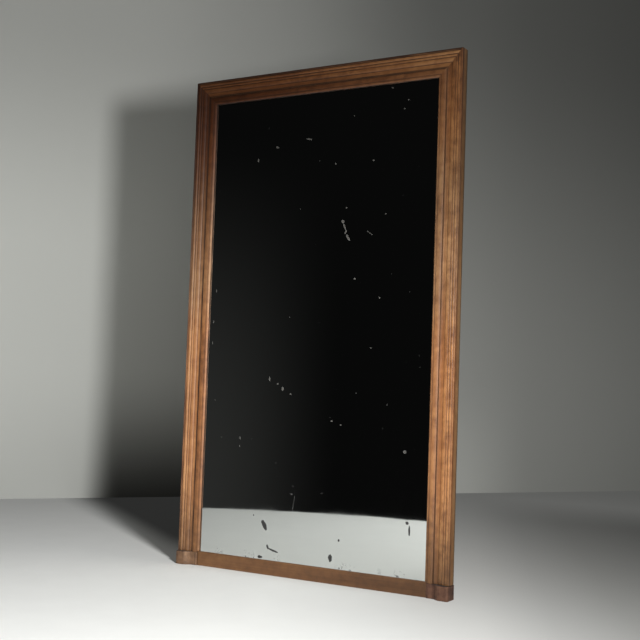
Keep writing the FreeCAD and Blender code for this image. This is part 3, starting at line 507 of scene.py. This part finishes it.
# The quirk's dark reach is dirt and painted shade, widest on top where the reed's upper edge is in
# shade. How pale the crests turn is wear and painted highlight.
for word, seed, quirk_dirt_and_shade_reach, tones, sheen, rubbing in (
        ("left", 41.0, 3.0, RED_WALNUT, 0.46, 0.3),
        ("right", 43.0, 2.4, WALNUT_TONES, 0.46, 1.0),
        ("top", 47.0, 6.0, DARK_WALNUT, 0.38, 1.7)):
    strip("sight", word, sight_line(quirk_dirt_and_shade_reach), seed, tones, sheen, sight_foot,
          wear=0.15, knocks=14, rubbing=rubbing)

# Plinth blocks: one solid walnut foot under each side, with a low inner part, an ogee and a bold
# outer part, dowelled to the stile. They have lost their wax, and the corners are knocked. Dirt
# and painted shade lie broadly in the hollows.
BLOCK_WIDTH = 93.0
BLOCK_REACH = 26.0
BATTEN_INSET = 40.0
CORE_BACK = 23.0
BACK = 32.0
BLOCK_ARRIS = 1.6
BLOCK_DIRT_AND_SHADE_REACH = 5.0
block_front = [
    (0.000, 0.200, 0.008), (0.016, 0.250), (0.279, 0.262, -0.050), (0.421, 0.520, 0.060),
    (0.596, 0.942), (0.902, 1.000, 0.090), (1.000, 0.690),
]
block_back = [(BLOCK_INSET + BLOCK_WIDTH, -BACK), (BATTEN_INSET, -BACK), (BATTEN_INSET, -CORE_BACK),
              (BLOCK_INSET, -CORE_BACK)]
block_line = fine_line(section(block_front, BLOCK_INSET, BLOCK_WIDTH, BLOCK_REACH, block_back),
                       BLOCK_ARRIS, BLOCK_DIRT_AND_SHADE_REACH)
knocked_ends = ((0.0, 0.9), (0.4, 0.35), (1.2, 0.0))


def foot_block(side):
    """Places the block's section from the floor up, under one side."""
    def place(out, rise, share, offset):
        return ((HALF_OPENING + out) * side, SIGHT_PLANE - rise, BLOCK_TOP * share + offset)
    return place


PALE_BLOCK = (paint(64, 42, 29), paint(112, 82, 58), paint(152, 118, 87))
BROWN_BLOCK = (paint(48, 29, 24), paint(97, 64, 48), paint(142, 102, 79))
for word, side, seed, tones in (("left", -1, 53.0, PALE_BLOCK), ("right", 1, 59.0, BROWN_BLOCK)):
    piece = planed_bar(word + "_plinth_block_wood", block_line, foot_block(side), BLOCK_TOP, seed,
                       knocked_ends, wear=0.8, knocks=60, end_dirt=0.75)
    finish = timber(word + "_plinth_walnut", "Z", seed, tones, 0.68, 2.6, mottle=1.0, scratch=0.6)
    stand_for(piece, finish, "plinth_walnut", word + "_plinth_block")

# Bottom rail: a plain board between the blocks, flush with the lip of the sight mouldings. It is
# rebated behind for the glass and rubbed round in front, and its tenons are pegged in the feet.
RAIL_GAP = 1.0
REST_LEVEL = 47.0
RAIL_ARRIS = 3.0
RAIL_SOFTNESS = 0.8
rail_shoulder = HALF_OPENING + BLOCK_INSET - RAIL_GAP
rail_line = fine_line([
    (0.0, 0.0), (RAIL_TOP - RAIL_ARRIS, 0.0, RAIL_ARRIS * 0.29), (RAIL_TOP, -RAIL_ARRIS),
    (RAIL_TOP, -LIP_DEPTH), (REST_LEVEL, -LIP_DEPTH), (REST_LEVEL, -CORE_BACK), (0.0, -CORE_BACK)],
    RAIL_SOFTNESS)


def along_foot(height, rise, share, offset):
    """Places the rail's section, whose first number is its height, between the two blocks."""
    return (rail_shoulder * (2 * share - 1) + offset, SIGHT_PLANE - rise, height)


RAIL_TONES = (paint(66, 41, 22), paint(103, 69, 40), paint(134, 96, 59))
piece = planed_bar("bottom_rail_wood", rail_line, along_foot, 2 * rail_shoulder, 61.0, knocks=40)
stand_for(piece, timber("rail_walnut_finish", "X", 61.0, RAIL_TONES, 0.5, 0.8), "rail_walnut",
          "bottom_rail")

# Mirror plate: old glass, silvered behind, slightly wavy. The silver has small losses and specks,
# and foxing where damp reached its lower edge. A grey-brown paint protects the silver at the back.
plate = Finish("old_mirror")
OLD_SILVER = (0.68, 0.70, 0.68, 1.0)
LOSS_SIZE = 0.95
# Across, up, half width, half height and lean of each loss, in millimetres and degrees.
losses = [
    (-291, 1656, 3, 7, 0), (-201, 1702, 6, 4, 30), (-51, 1723, 13, 3, 10), (72, 1615, 3, 3, 0),
    (239, 1616, 4, 3, 0), (364, 1804, 3, 3, 0), (149, 1798, 2, 2, 0), (311, 1890, 5, 2, 20),
    (380, 1837, 3, 2, 0), (127, 1439, 3, 3, 0), (113, 1386, 5, 7, -20), (121, 1366, 3, 13, -22),
    (127, 1345, 3, 9, 25), (138, 1322, 4, 14, -35), (298, 1407, 3, 2, 0), (232, 1337, 16, 1, 35),
    (173, 1162, 4, 3, 0), (283, 1088, 3, 3, 0), (-475, 1124, 2, 6, 0), (-484, 996, 2, 5, 0),
    (-485, 909, 2, 5, 0), (-198, 768, 3, 9, -8), (-159, 750, 3, 3, 0), (-135, 731, 5, 7, -10),
    (-97, 712, 4, 3, 0), (252, 898, 3, 2, 0), (-329, 527, 3, 5, 0), (-330, 495, 2, 4, 0),
    (407, 516, 6, 6, 0), (93, 615, 4, 3, 0), (133, 602, 3, 2, 0), (-76, 323, 4, 3, 0),
    (-66, 285, 1, 30, 8), (-250, 226, 3, 3, 0), (-198, 192, 10, 23, -30), (-153, 97, 26, 4, 14),
    (-179, 109, 5, 10, -20), (106, 96, 9, 15, 0), (141, 166, 4, 5, 0), (435, 231, 4, 19, 0),
    (425, 258, 7, 6, 20), (-213, 66, 12, 6, 0),
]
ragged = plate.place.speckle(160.0, 3.0, 0.6) * 0.9 - 0.45
nearest = None
for across, up, half_width, half_height, lean in losses:
    local = plate.place.node("Mapping", {"vector_type": "TEXTURE"}, {
        "Vector": plate.place, "Location": (across * MM, 0.0, up * MM),
        "Rotation": (0.0, math.radians(lean), 0.0),
        "Scale": (half_width * LOSS_SIZE * MM, 1.0, half_height * LOSS_SIZE * MM)})
    reach = local.vector("MULTIPLY", (1.0, 0.0, 1.0)).length()
    nearest = reach if nearest is None else nearest.math("MINIMUM", nearest, reach)
spots = plate.place.speckle(75.0, 2.0, 0.5).within(0.79, 0.81)
clusters = plate.place.vector("MULTIPLY", (1.0, 0.0, 0.0)).speckle(9.0, 1.0).within(0.50, 0.62)
foxing = (plate.place.part("Z").within(0.090, 0.055) * clusters
          * plate.place.speckle(52.0, 5.0, 0.7).within(0.50, 0.60))
missing = (nearest + ragged).within(1.1, 0.85).greater(spots).greater(foxing)
# Bare back where the silver is lost, painted darker low down as shade where less lamp light
# reaches.
bare_back_shaded_low = plate.place.part("Z").within(0.2, 0.7).mixed(paint(44, 43, 42), paint(80, 77, 72))
haze = plate.place.speckle(5.0, 4.0, 0.6).within(0.35, 0.8)
plate.drive(
    Base_Color=missing.mixed(OLD_SILVER, bare_back_shaded_low),
    Metallic=1 - missing,
    Roughness=missing * 0.5 + haze * 0.03 + 0.02)
plate.relief(plate.place.speckle(4.0, 2.0, 0.5), 0.8 * MM, 0.25)
plate.dress("mirror_plate")

backing = Finish("silver_paint")
crackle = backing.place.speckle(90.0, 6.0, 0.7)
backing.drive(Base_Color=crackle.within(0.3, 0.7).mixed(paint(92, 84, 74), paint(124, 114, 100)),
              Roughness=crackle * 0.2 + 0.55)
backing.relief(crackle, 0.05 * MM)
backing.dress("silvering")

# Packing behind the glass: pads of sole leather that it stands on, softwood wedges glued in the
# rebate's corner, and brown paper that keeps the dust from the silver.
leather = Finish("sole_leather")
hide = leather.place.speckle(700.0, 4.0, 0.6)
leather.drive(Base_Color=hide.mixed(paint(62, 38, 24), paint(104, 68, 44)),
              Roughness=hide * 0.3 + 0.5)
leather.relief(hide, 0.2 * MM)
leather.dress("plate_rests")
PINE_TONES = (paint(76, 55, 36), paint(114, 88, 60), paint(146, 117, 84))
timber("glass_block_upright", "Z", 71.0, PINE_TONES, 0.7, 0.8).dress(
    "left_glass_blocks", "right_glass_blocks")
timber("glass_block_cross", "X", 73.0, PINE_TONES, 0.7, 0.8).dress(
    "top_glass_blocks", "bottom_glass_blocks")
paper = Finish("brown_paper")
fibre = paper.place.speckle(420.0, 5.0, 0.7)
damp = paper.place.speckle(4.0, 4.0, 0.6)
tone = (fibre * 0.5 + damp * 0.6).within(0.2, 0.9)
paper.drive(Base_Color=tone.mixed(paint(112, 82, 54), paint(158, 124, 86)),
            Roughness=fibre * 0.2 + 0.7)
paper.relief(fibre, 0.1 * MM)
paper.dress("lining_paper")

# Back: four thin pine battens screwed round the edge, and seven boards laid across between them,
# each nailed at both ends. The pine is dry, dusty and browned.
timber("batten_pine_upright", "Z", 79.0, PINE_TONES, 0.72, 1.2).dress(
    "left_back_batten", "right_back_batten")
timber("batten_pine_cross", "X", 83.0, PINE_TONES, 0.72, 1.2).dress(
    "top_back_batten", "bottom_back_batten")
for number in range(1, 8):
    timber("board_pine_%d" % number, "X", 89.0 + 3.7 * number, PINE_TONES, 0.74, 1.3).dress(
        "backboard_%d" % number)

# Ironwork: two flat hanging plates let into the battens, and the screws, nails and pins. The plates
# are black forged iron with rust in patches. The screws and nails are dull and brown.


def old_iron(name, bare, rust, rusty):
    """Dull iron with rust in patches: rusty is the share of it that has gone."""
    finish = Finish(name)
    patches = finish.place.speckle(120.0, 5.0, 0.65)
    pits = finish.place.speckle(900.0, 3.0, 0.6)
    scale = (patches + pits * 0.3).within(0.85 - rusty, 1.0 - rusty)
    finish.drive(Base_Color=scale.mixed(bare, rust), Metallic=0.9 - scale * 0.8,
                 Roughness=scale * 0.4 + pits * 0.2 + 0.35)
    finish.relief(pits + patches, 0.12 * MM)
    return finish


old_iron("forged_plate", paint(58, 54, 52), paint(92, 52, 32), 0.22).dress(
    "left_hanging_plate", "right_hanging_plate")
old_iron("old_screws", paint(110, 104, 98), paint(96, 58, 38), 0.25).dress(
    "side_moulding_screws", "top_moulding_screws", "side_batten_screws", "cross_batten_screws",
    "hanging_plate_screws", "side_sight_pins", "top_sight_pins")
old_iron("rusty_nails", paint(84, 74, 68), paint(88, 50, 32), 0.38).dress("backboard_nails")

# Floor and backdrop: a pale floor with painted light, palest before the mirror to the left and
# darker to the right and far back, with a painted shadow of the mirror in the corner behind it, and
# a grey wall that only the camera sees, painted lighter and darker where the light falls. A dark
# screen round the front shows in the glass alone. Sizes from here on are in metres.
RAYS = ("camera", "diffuse", "glossy", "shadow", "transmission")


def stage_sheet(name, corners, finish, seen_by=RAYS):
    """A sheet of flat panels, four corners to each, that isn't part of the object."""
    mesh = bpy.data.meshes.new(name)
    panels = [tuple(range(index, index + 4)) for index in range(0, len(corners), 4)]
    mesh.from_pydata(corners, [], panels)
    mesh.materials.append(finish.material)
    sheet = bpy.data.objects.new(name, mesh)
    bpy.context.scene.collection.objects.link(sheet)
    for ray in RAYS:
        setattr(sheet, "visible_" + ray, ray in seen_by)
    return sheet


FLOOR_HALF = 14.0
floor_finish = Finish("pale_floor", Roughness=0.7, Specular_IOR_Level=0.2)
across, back = floor_finish.place.part("X"), floor_finish.place.part("Y")
boards = floor_finish.place.speckle(7.0, 4.0, 0.6)
# From 0 at the left to 1 at the right of the camera's view, over 3.2 m of floor.
rightward = (across + back * 0.42 + 1.2) * (1 / 3.2)
# Painted light: the floor is painted palest at the left, where the lamp's pool lies, and darker
# towards the right.
pale = rightward.ramp(
    (0.00, (0.87, 0.875, 0.85, 1.0)), (0.25, (0.79, 0.795, 0.77, 1.0)),
    (0.344, (0.75, 0.755, 0.73, 1.0)), (0.51, (0.60, 0.605, 0.585, 1.0)),
    (0.60, (0.53, 0.53, 0.51, 1.0)), (0.68, (0.40, 0.40, 0.385, 1.0)),
    (0.766, (0.32, 0.32, 0.305, 1.0)), (1.0, (0.22, 0.22, 0.21, 1.0)))
# Painted shade: darker far back.
far = back.within(2.4, 4.0) * 1.1
# Rises across the line on the floor where the mirror's shadow begins.
behind = back + across * 0.747
# Painted shadow: the floor behind this line, in the corner behind the mirror, is painted near
# black.
corner = (behind.within(-0.48, -0.2) * across.within(-0.4, -1.1)
          * rightward.within(0.55, 0.45) * 0.85)
boards_and_painted_light = (boards * 0.12).mixed(far.mixed(pale, (0.58, 0.58, 0.56, 1.0)), (0.4, 0.4, 0.39, 1.0))
floor_finish.drive(Base_Color=corner.mixed(boards_and_painted_light, (0.02, 0.02, 0.02, 1.0)))
floor = stage_sheet("floor", [(FLOOR_HALF * x, FLOOR_HALF * y, 0.0)
                              for x, y in ((-1, -1), (1, -1), (1, 1), (-1, 1))], floor_finish)

# Two points on the line where the wall meets the floor.
wall_foot = (Vector((-2.509, 1.457, 0.0)), Vector((-0.425, 4.448, 0.0)))
WALL_HEIGHT = 7.0
PAST_LEFT_POINT = 2.0
PAST_RIGHT_POINT = 6.0
way = (wall_foot[1] - wall_foot[0]).normalized()
left_foot = wall_foot[0] - way * PAST_LEFT_POINT
right_foot = wall_foot[1] + way * PAST_RIGHT_POINT
wall_rise = Vector((0, 0, WALL_HEIGHT))
wall_finish = Finish("grey_wall", Roughness=0.9, Specular_IOR_Level=0.1)
across, up = wall_finish.place.part("X"), wall_finish.place.part("Z")
patches = wall_finish.place.speckle(1.3, 3.0, 0.5)
# Painted light and shade: the wall is painted darker to the upper right and at its foot near the
# mirror, and paler to the left and low beside the mirror's right edge.
upper_right_painted_shade = across.within(-2.4, -1.0) * up.within(0.3, 3.6) * 0.62
corner = (up.within(0.85, -0.1) * across.within(-0.9, -1.6)
          * (across.within(-2.52, -2.36) * 0.75 + 0.15))
left = across.within(-1.6, -2.5) * up.within(3.0, 1.4)
beside = (across.within(-0.55, -1.0) * across.within(-2.1, -1.6)
          * (up.within(0.9, 0.0) * 0.63 + 0.22))
painted_light_wall = (left + beside + patches * 0.06).mixed((0.55, 0.555, 0.525, 1.0), (0.84, 0.85, 0.80, 1.0))
wall_finish.drive(Base_Color=upper_right_painted_shade.greater(corner).mixed(painted_light_wall, (0.02, 0.02, 0.018, 1.0)))
# The wall is clear from behind, so that the mirror's back can be seen.
from_behind = wall_finish.place.node("NewGeometry", output=6)
seen = from_behind.node("MixShader", None, {
    0: from_behind, 1: Shade(wall_finish.tree, wall_finish.shader.outputs[0]),
    2: from_behind.node("BsdfTransparent")})
wall_finish.tree.links.new(seen.socket, wall_finish.tree.nodes["Material Output"].inputs[0])
wall = stage_sheet("backdrop", [left_foot, right_foot, right_foot + wall_rise,
                                left_foot + wall_rise], wall_finish, seen_by=("camera",))

screen_finish = Finish("dark_screen", Base_Color=(0.0, 0.0, 0.0, 1.0), Specular_IOR_Level=0.0,
                       Emission_Strength=1.0)
# The screen glows faintly though it is no lamp, more at the lower left: a painted reflection of a
# dim room, seen only in the glass.
glow = (screen_finish.place.part("X").within(-0.95, -1.75)
        * screen_finish.place.part("Z").within(2.3, 0.2))
screen_finish.drive(Emission_Color=glow.mixed((0.0036, 0.0036, 0.0036, 1.0),
                                              (0.0315, 0.0315, 0.0305, 1.0)))
screen_plan = [(-5.0, 3.0), (-2.9, -0.2), (-1.662, -1.609), (-1.383, -1.766), (-1.054, -1.907),
               (-0.708, -2.003), (-0.2, -2.06), (0.6, -2.15), (1.6, -2.4), (3.4, -2.6),
               (5.0, -0.5), (5.5, 3.0)]
panels = []
for here, following in zip(screen_plan, screen_plan[1:]):
    panels += [here + (0.0,), following + (0.0,), following + (WALL_HEIGHT,), here + (WALL_HEIGHT,)]
stage_sheet("dark_screen", panels, screen_finish, seen_by=("glossy",))

# Light: two soft lamps from the right before the mirror, one of them for its top right corner, and
# a weak one for its back. The wall and the floor have a lamp each, which sets how bright they are
# and where the shadow falls. Grey light comes from all round.


def lamp(name, kind, place, aim, power, state, sheets, **settings):
    """A lamp with a state for the sheets: EXCLUDE leaves them out, INCLUDE lights nothing else."""
    data = bpy.data.lights.new(name, kind)
    data.energy = power
    for key, value in settings.items():
        setattr(data, key, value)
    made = bpy.data.objects.new(name, data)
    bpy.context.scene.collection.objects.link(made)
    made.location = place
    made.rotation_mode = "QUATERNION"
    made.rotation_quaternion = (Vector(aim) - Vector(place)).to_track_quat("-Z", "Y")
    made.visible_camera = False
    receivers = bpy.data.collections.new(name + "_sheets")
    for sheet in sheets:
        receivers.objects.link(sheet)
    for link in receivers.collection_objects:
        link.light_linking.link_state = state
    made.light_linking.receiver_collection = receivers


def spot(name, place, aim, power, softness, spread, state, *sheets):
    """A lamp with a cone: its softness is its own radius, and its spread an angle in degrees."""
    lamp(name, "SPOT", place, aim, power, state, sheets, shadow_soft_size=softness,
         spot_size=math.radians(spread), spot_blend=1.0)


KEY_PLACE = (2.15, -3.0, 1.25)
spot("key_lamp", KEY_PLACE, (-0.32, 0.0, 0.70), 780.0, 0.17, 41, "EXCLUDE", wall, floor)
spot("corner_lamp", KEY_PLACE, (0.38, 0.0, 2.08), 180.0, 0.17, 22, "EXCLUDE", wall, floor)
lamp("back_lamp", "AREA", (-1.5, 5.0, 3.0), (0.0, 0.0, 1.0), 140.0, "EXCLUDE", (wall, floor),
     size=2.0, use_shadow=False)
spot("wall_lamp", (2.46, -2.59, 1.18), (-2.4, 1.7, 1.9), 510.0, 0.17, 95, "INCLUDE", wall)
spot("floor_lamp", (2.8, -2.6, 1.9), (-1.2, -0.7, 0.0), 1150.0, 0.25, 110, "INCLUDE", floor)
world = bpy.data.worlds.new("studio")
bpy.context.scene.world = world
world.use_nodes = True
sky = world.node_tree.nodes["Background"]
sky.inputs["Color"].default_value = (0.62, 0.63, 0.62, 1.0)
sky.inputs["Strength"].default_value = 0.22

# Camera: it stands where the photograph was taken, seen from the upright mirror, so it is turned by
# the angle to the mirror and by the lean of the real one.
TURN = math.radians(30.41)
LEAN = math.radians(3.93)
CAMERA_PLACE = (2.1512, -3.6102, 0.7558)
camera_data = bpy.data.cameras.new("camera")
camera_data.lens = 60.69
camera_data.sensor_width = 36.0
camera = bpy.data.objects.new("camera", camera_data)
bpy.context.scene.collection.objects.link(camera)
camera.matrix_world = (Matrix.Translation(CAMERA_PLACE) @ Matrix.Rotation(LEAN, 4, "X")
                       @ Matrix.Rotation(TURN, 4, "Z") @ Matrix.Rotation(math.pi / 2, 4, "X"))
bpy.context.scene.camera = camera
bpy.context.scene.view_settings.view_transform = "Standard"
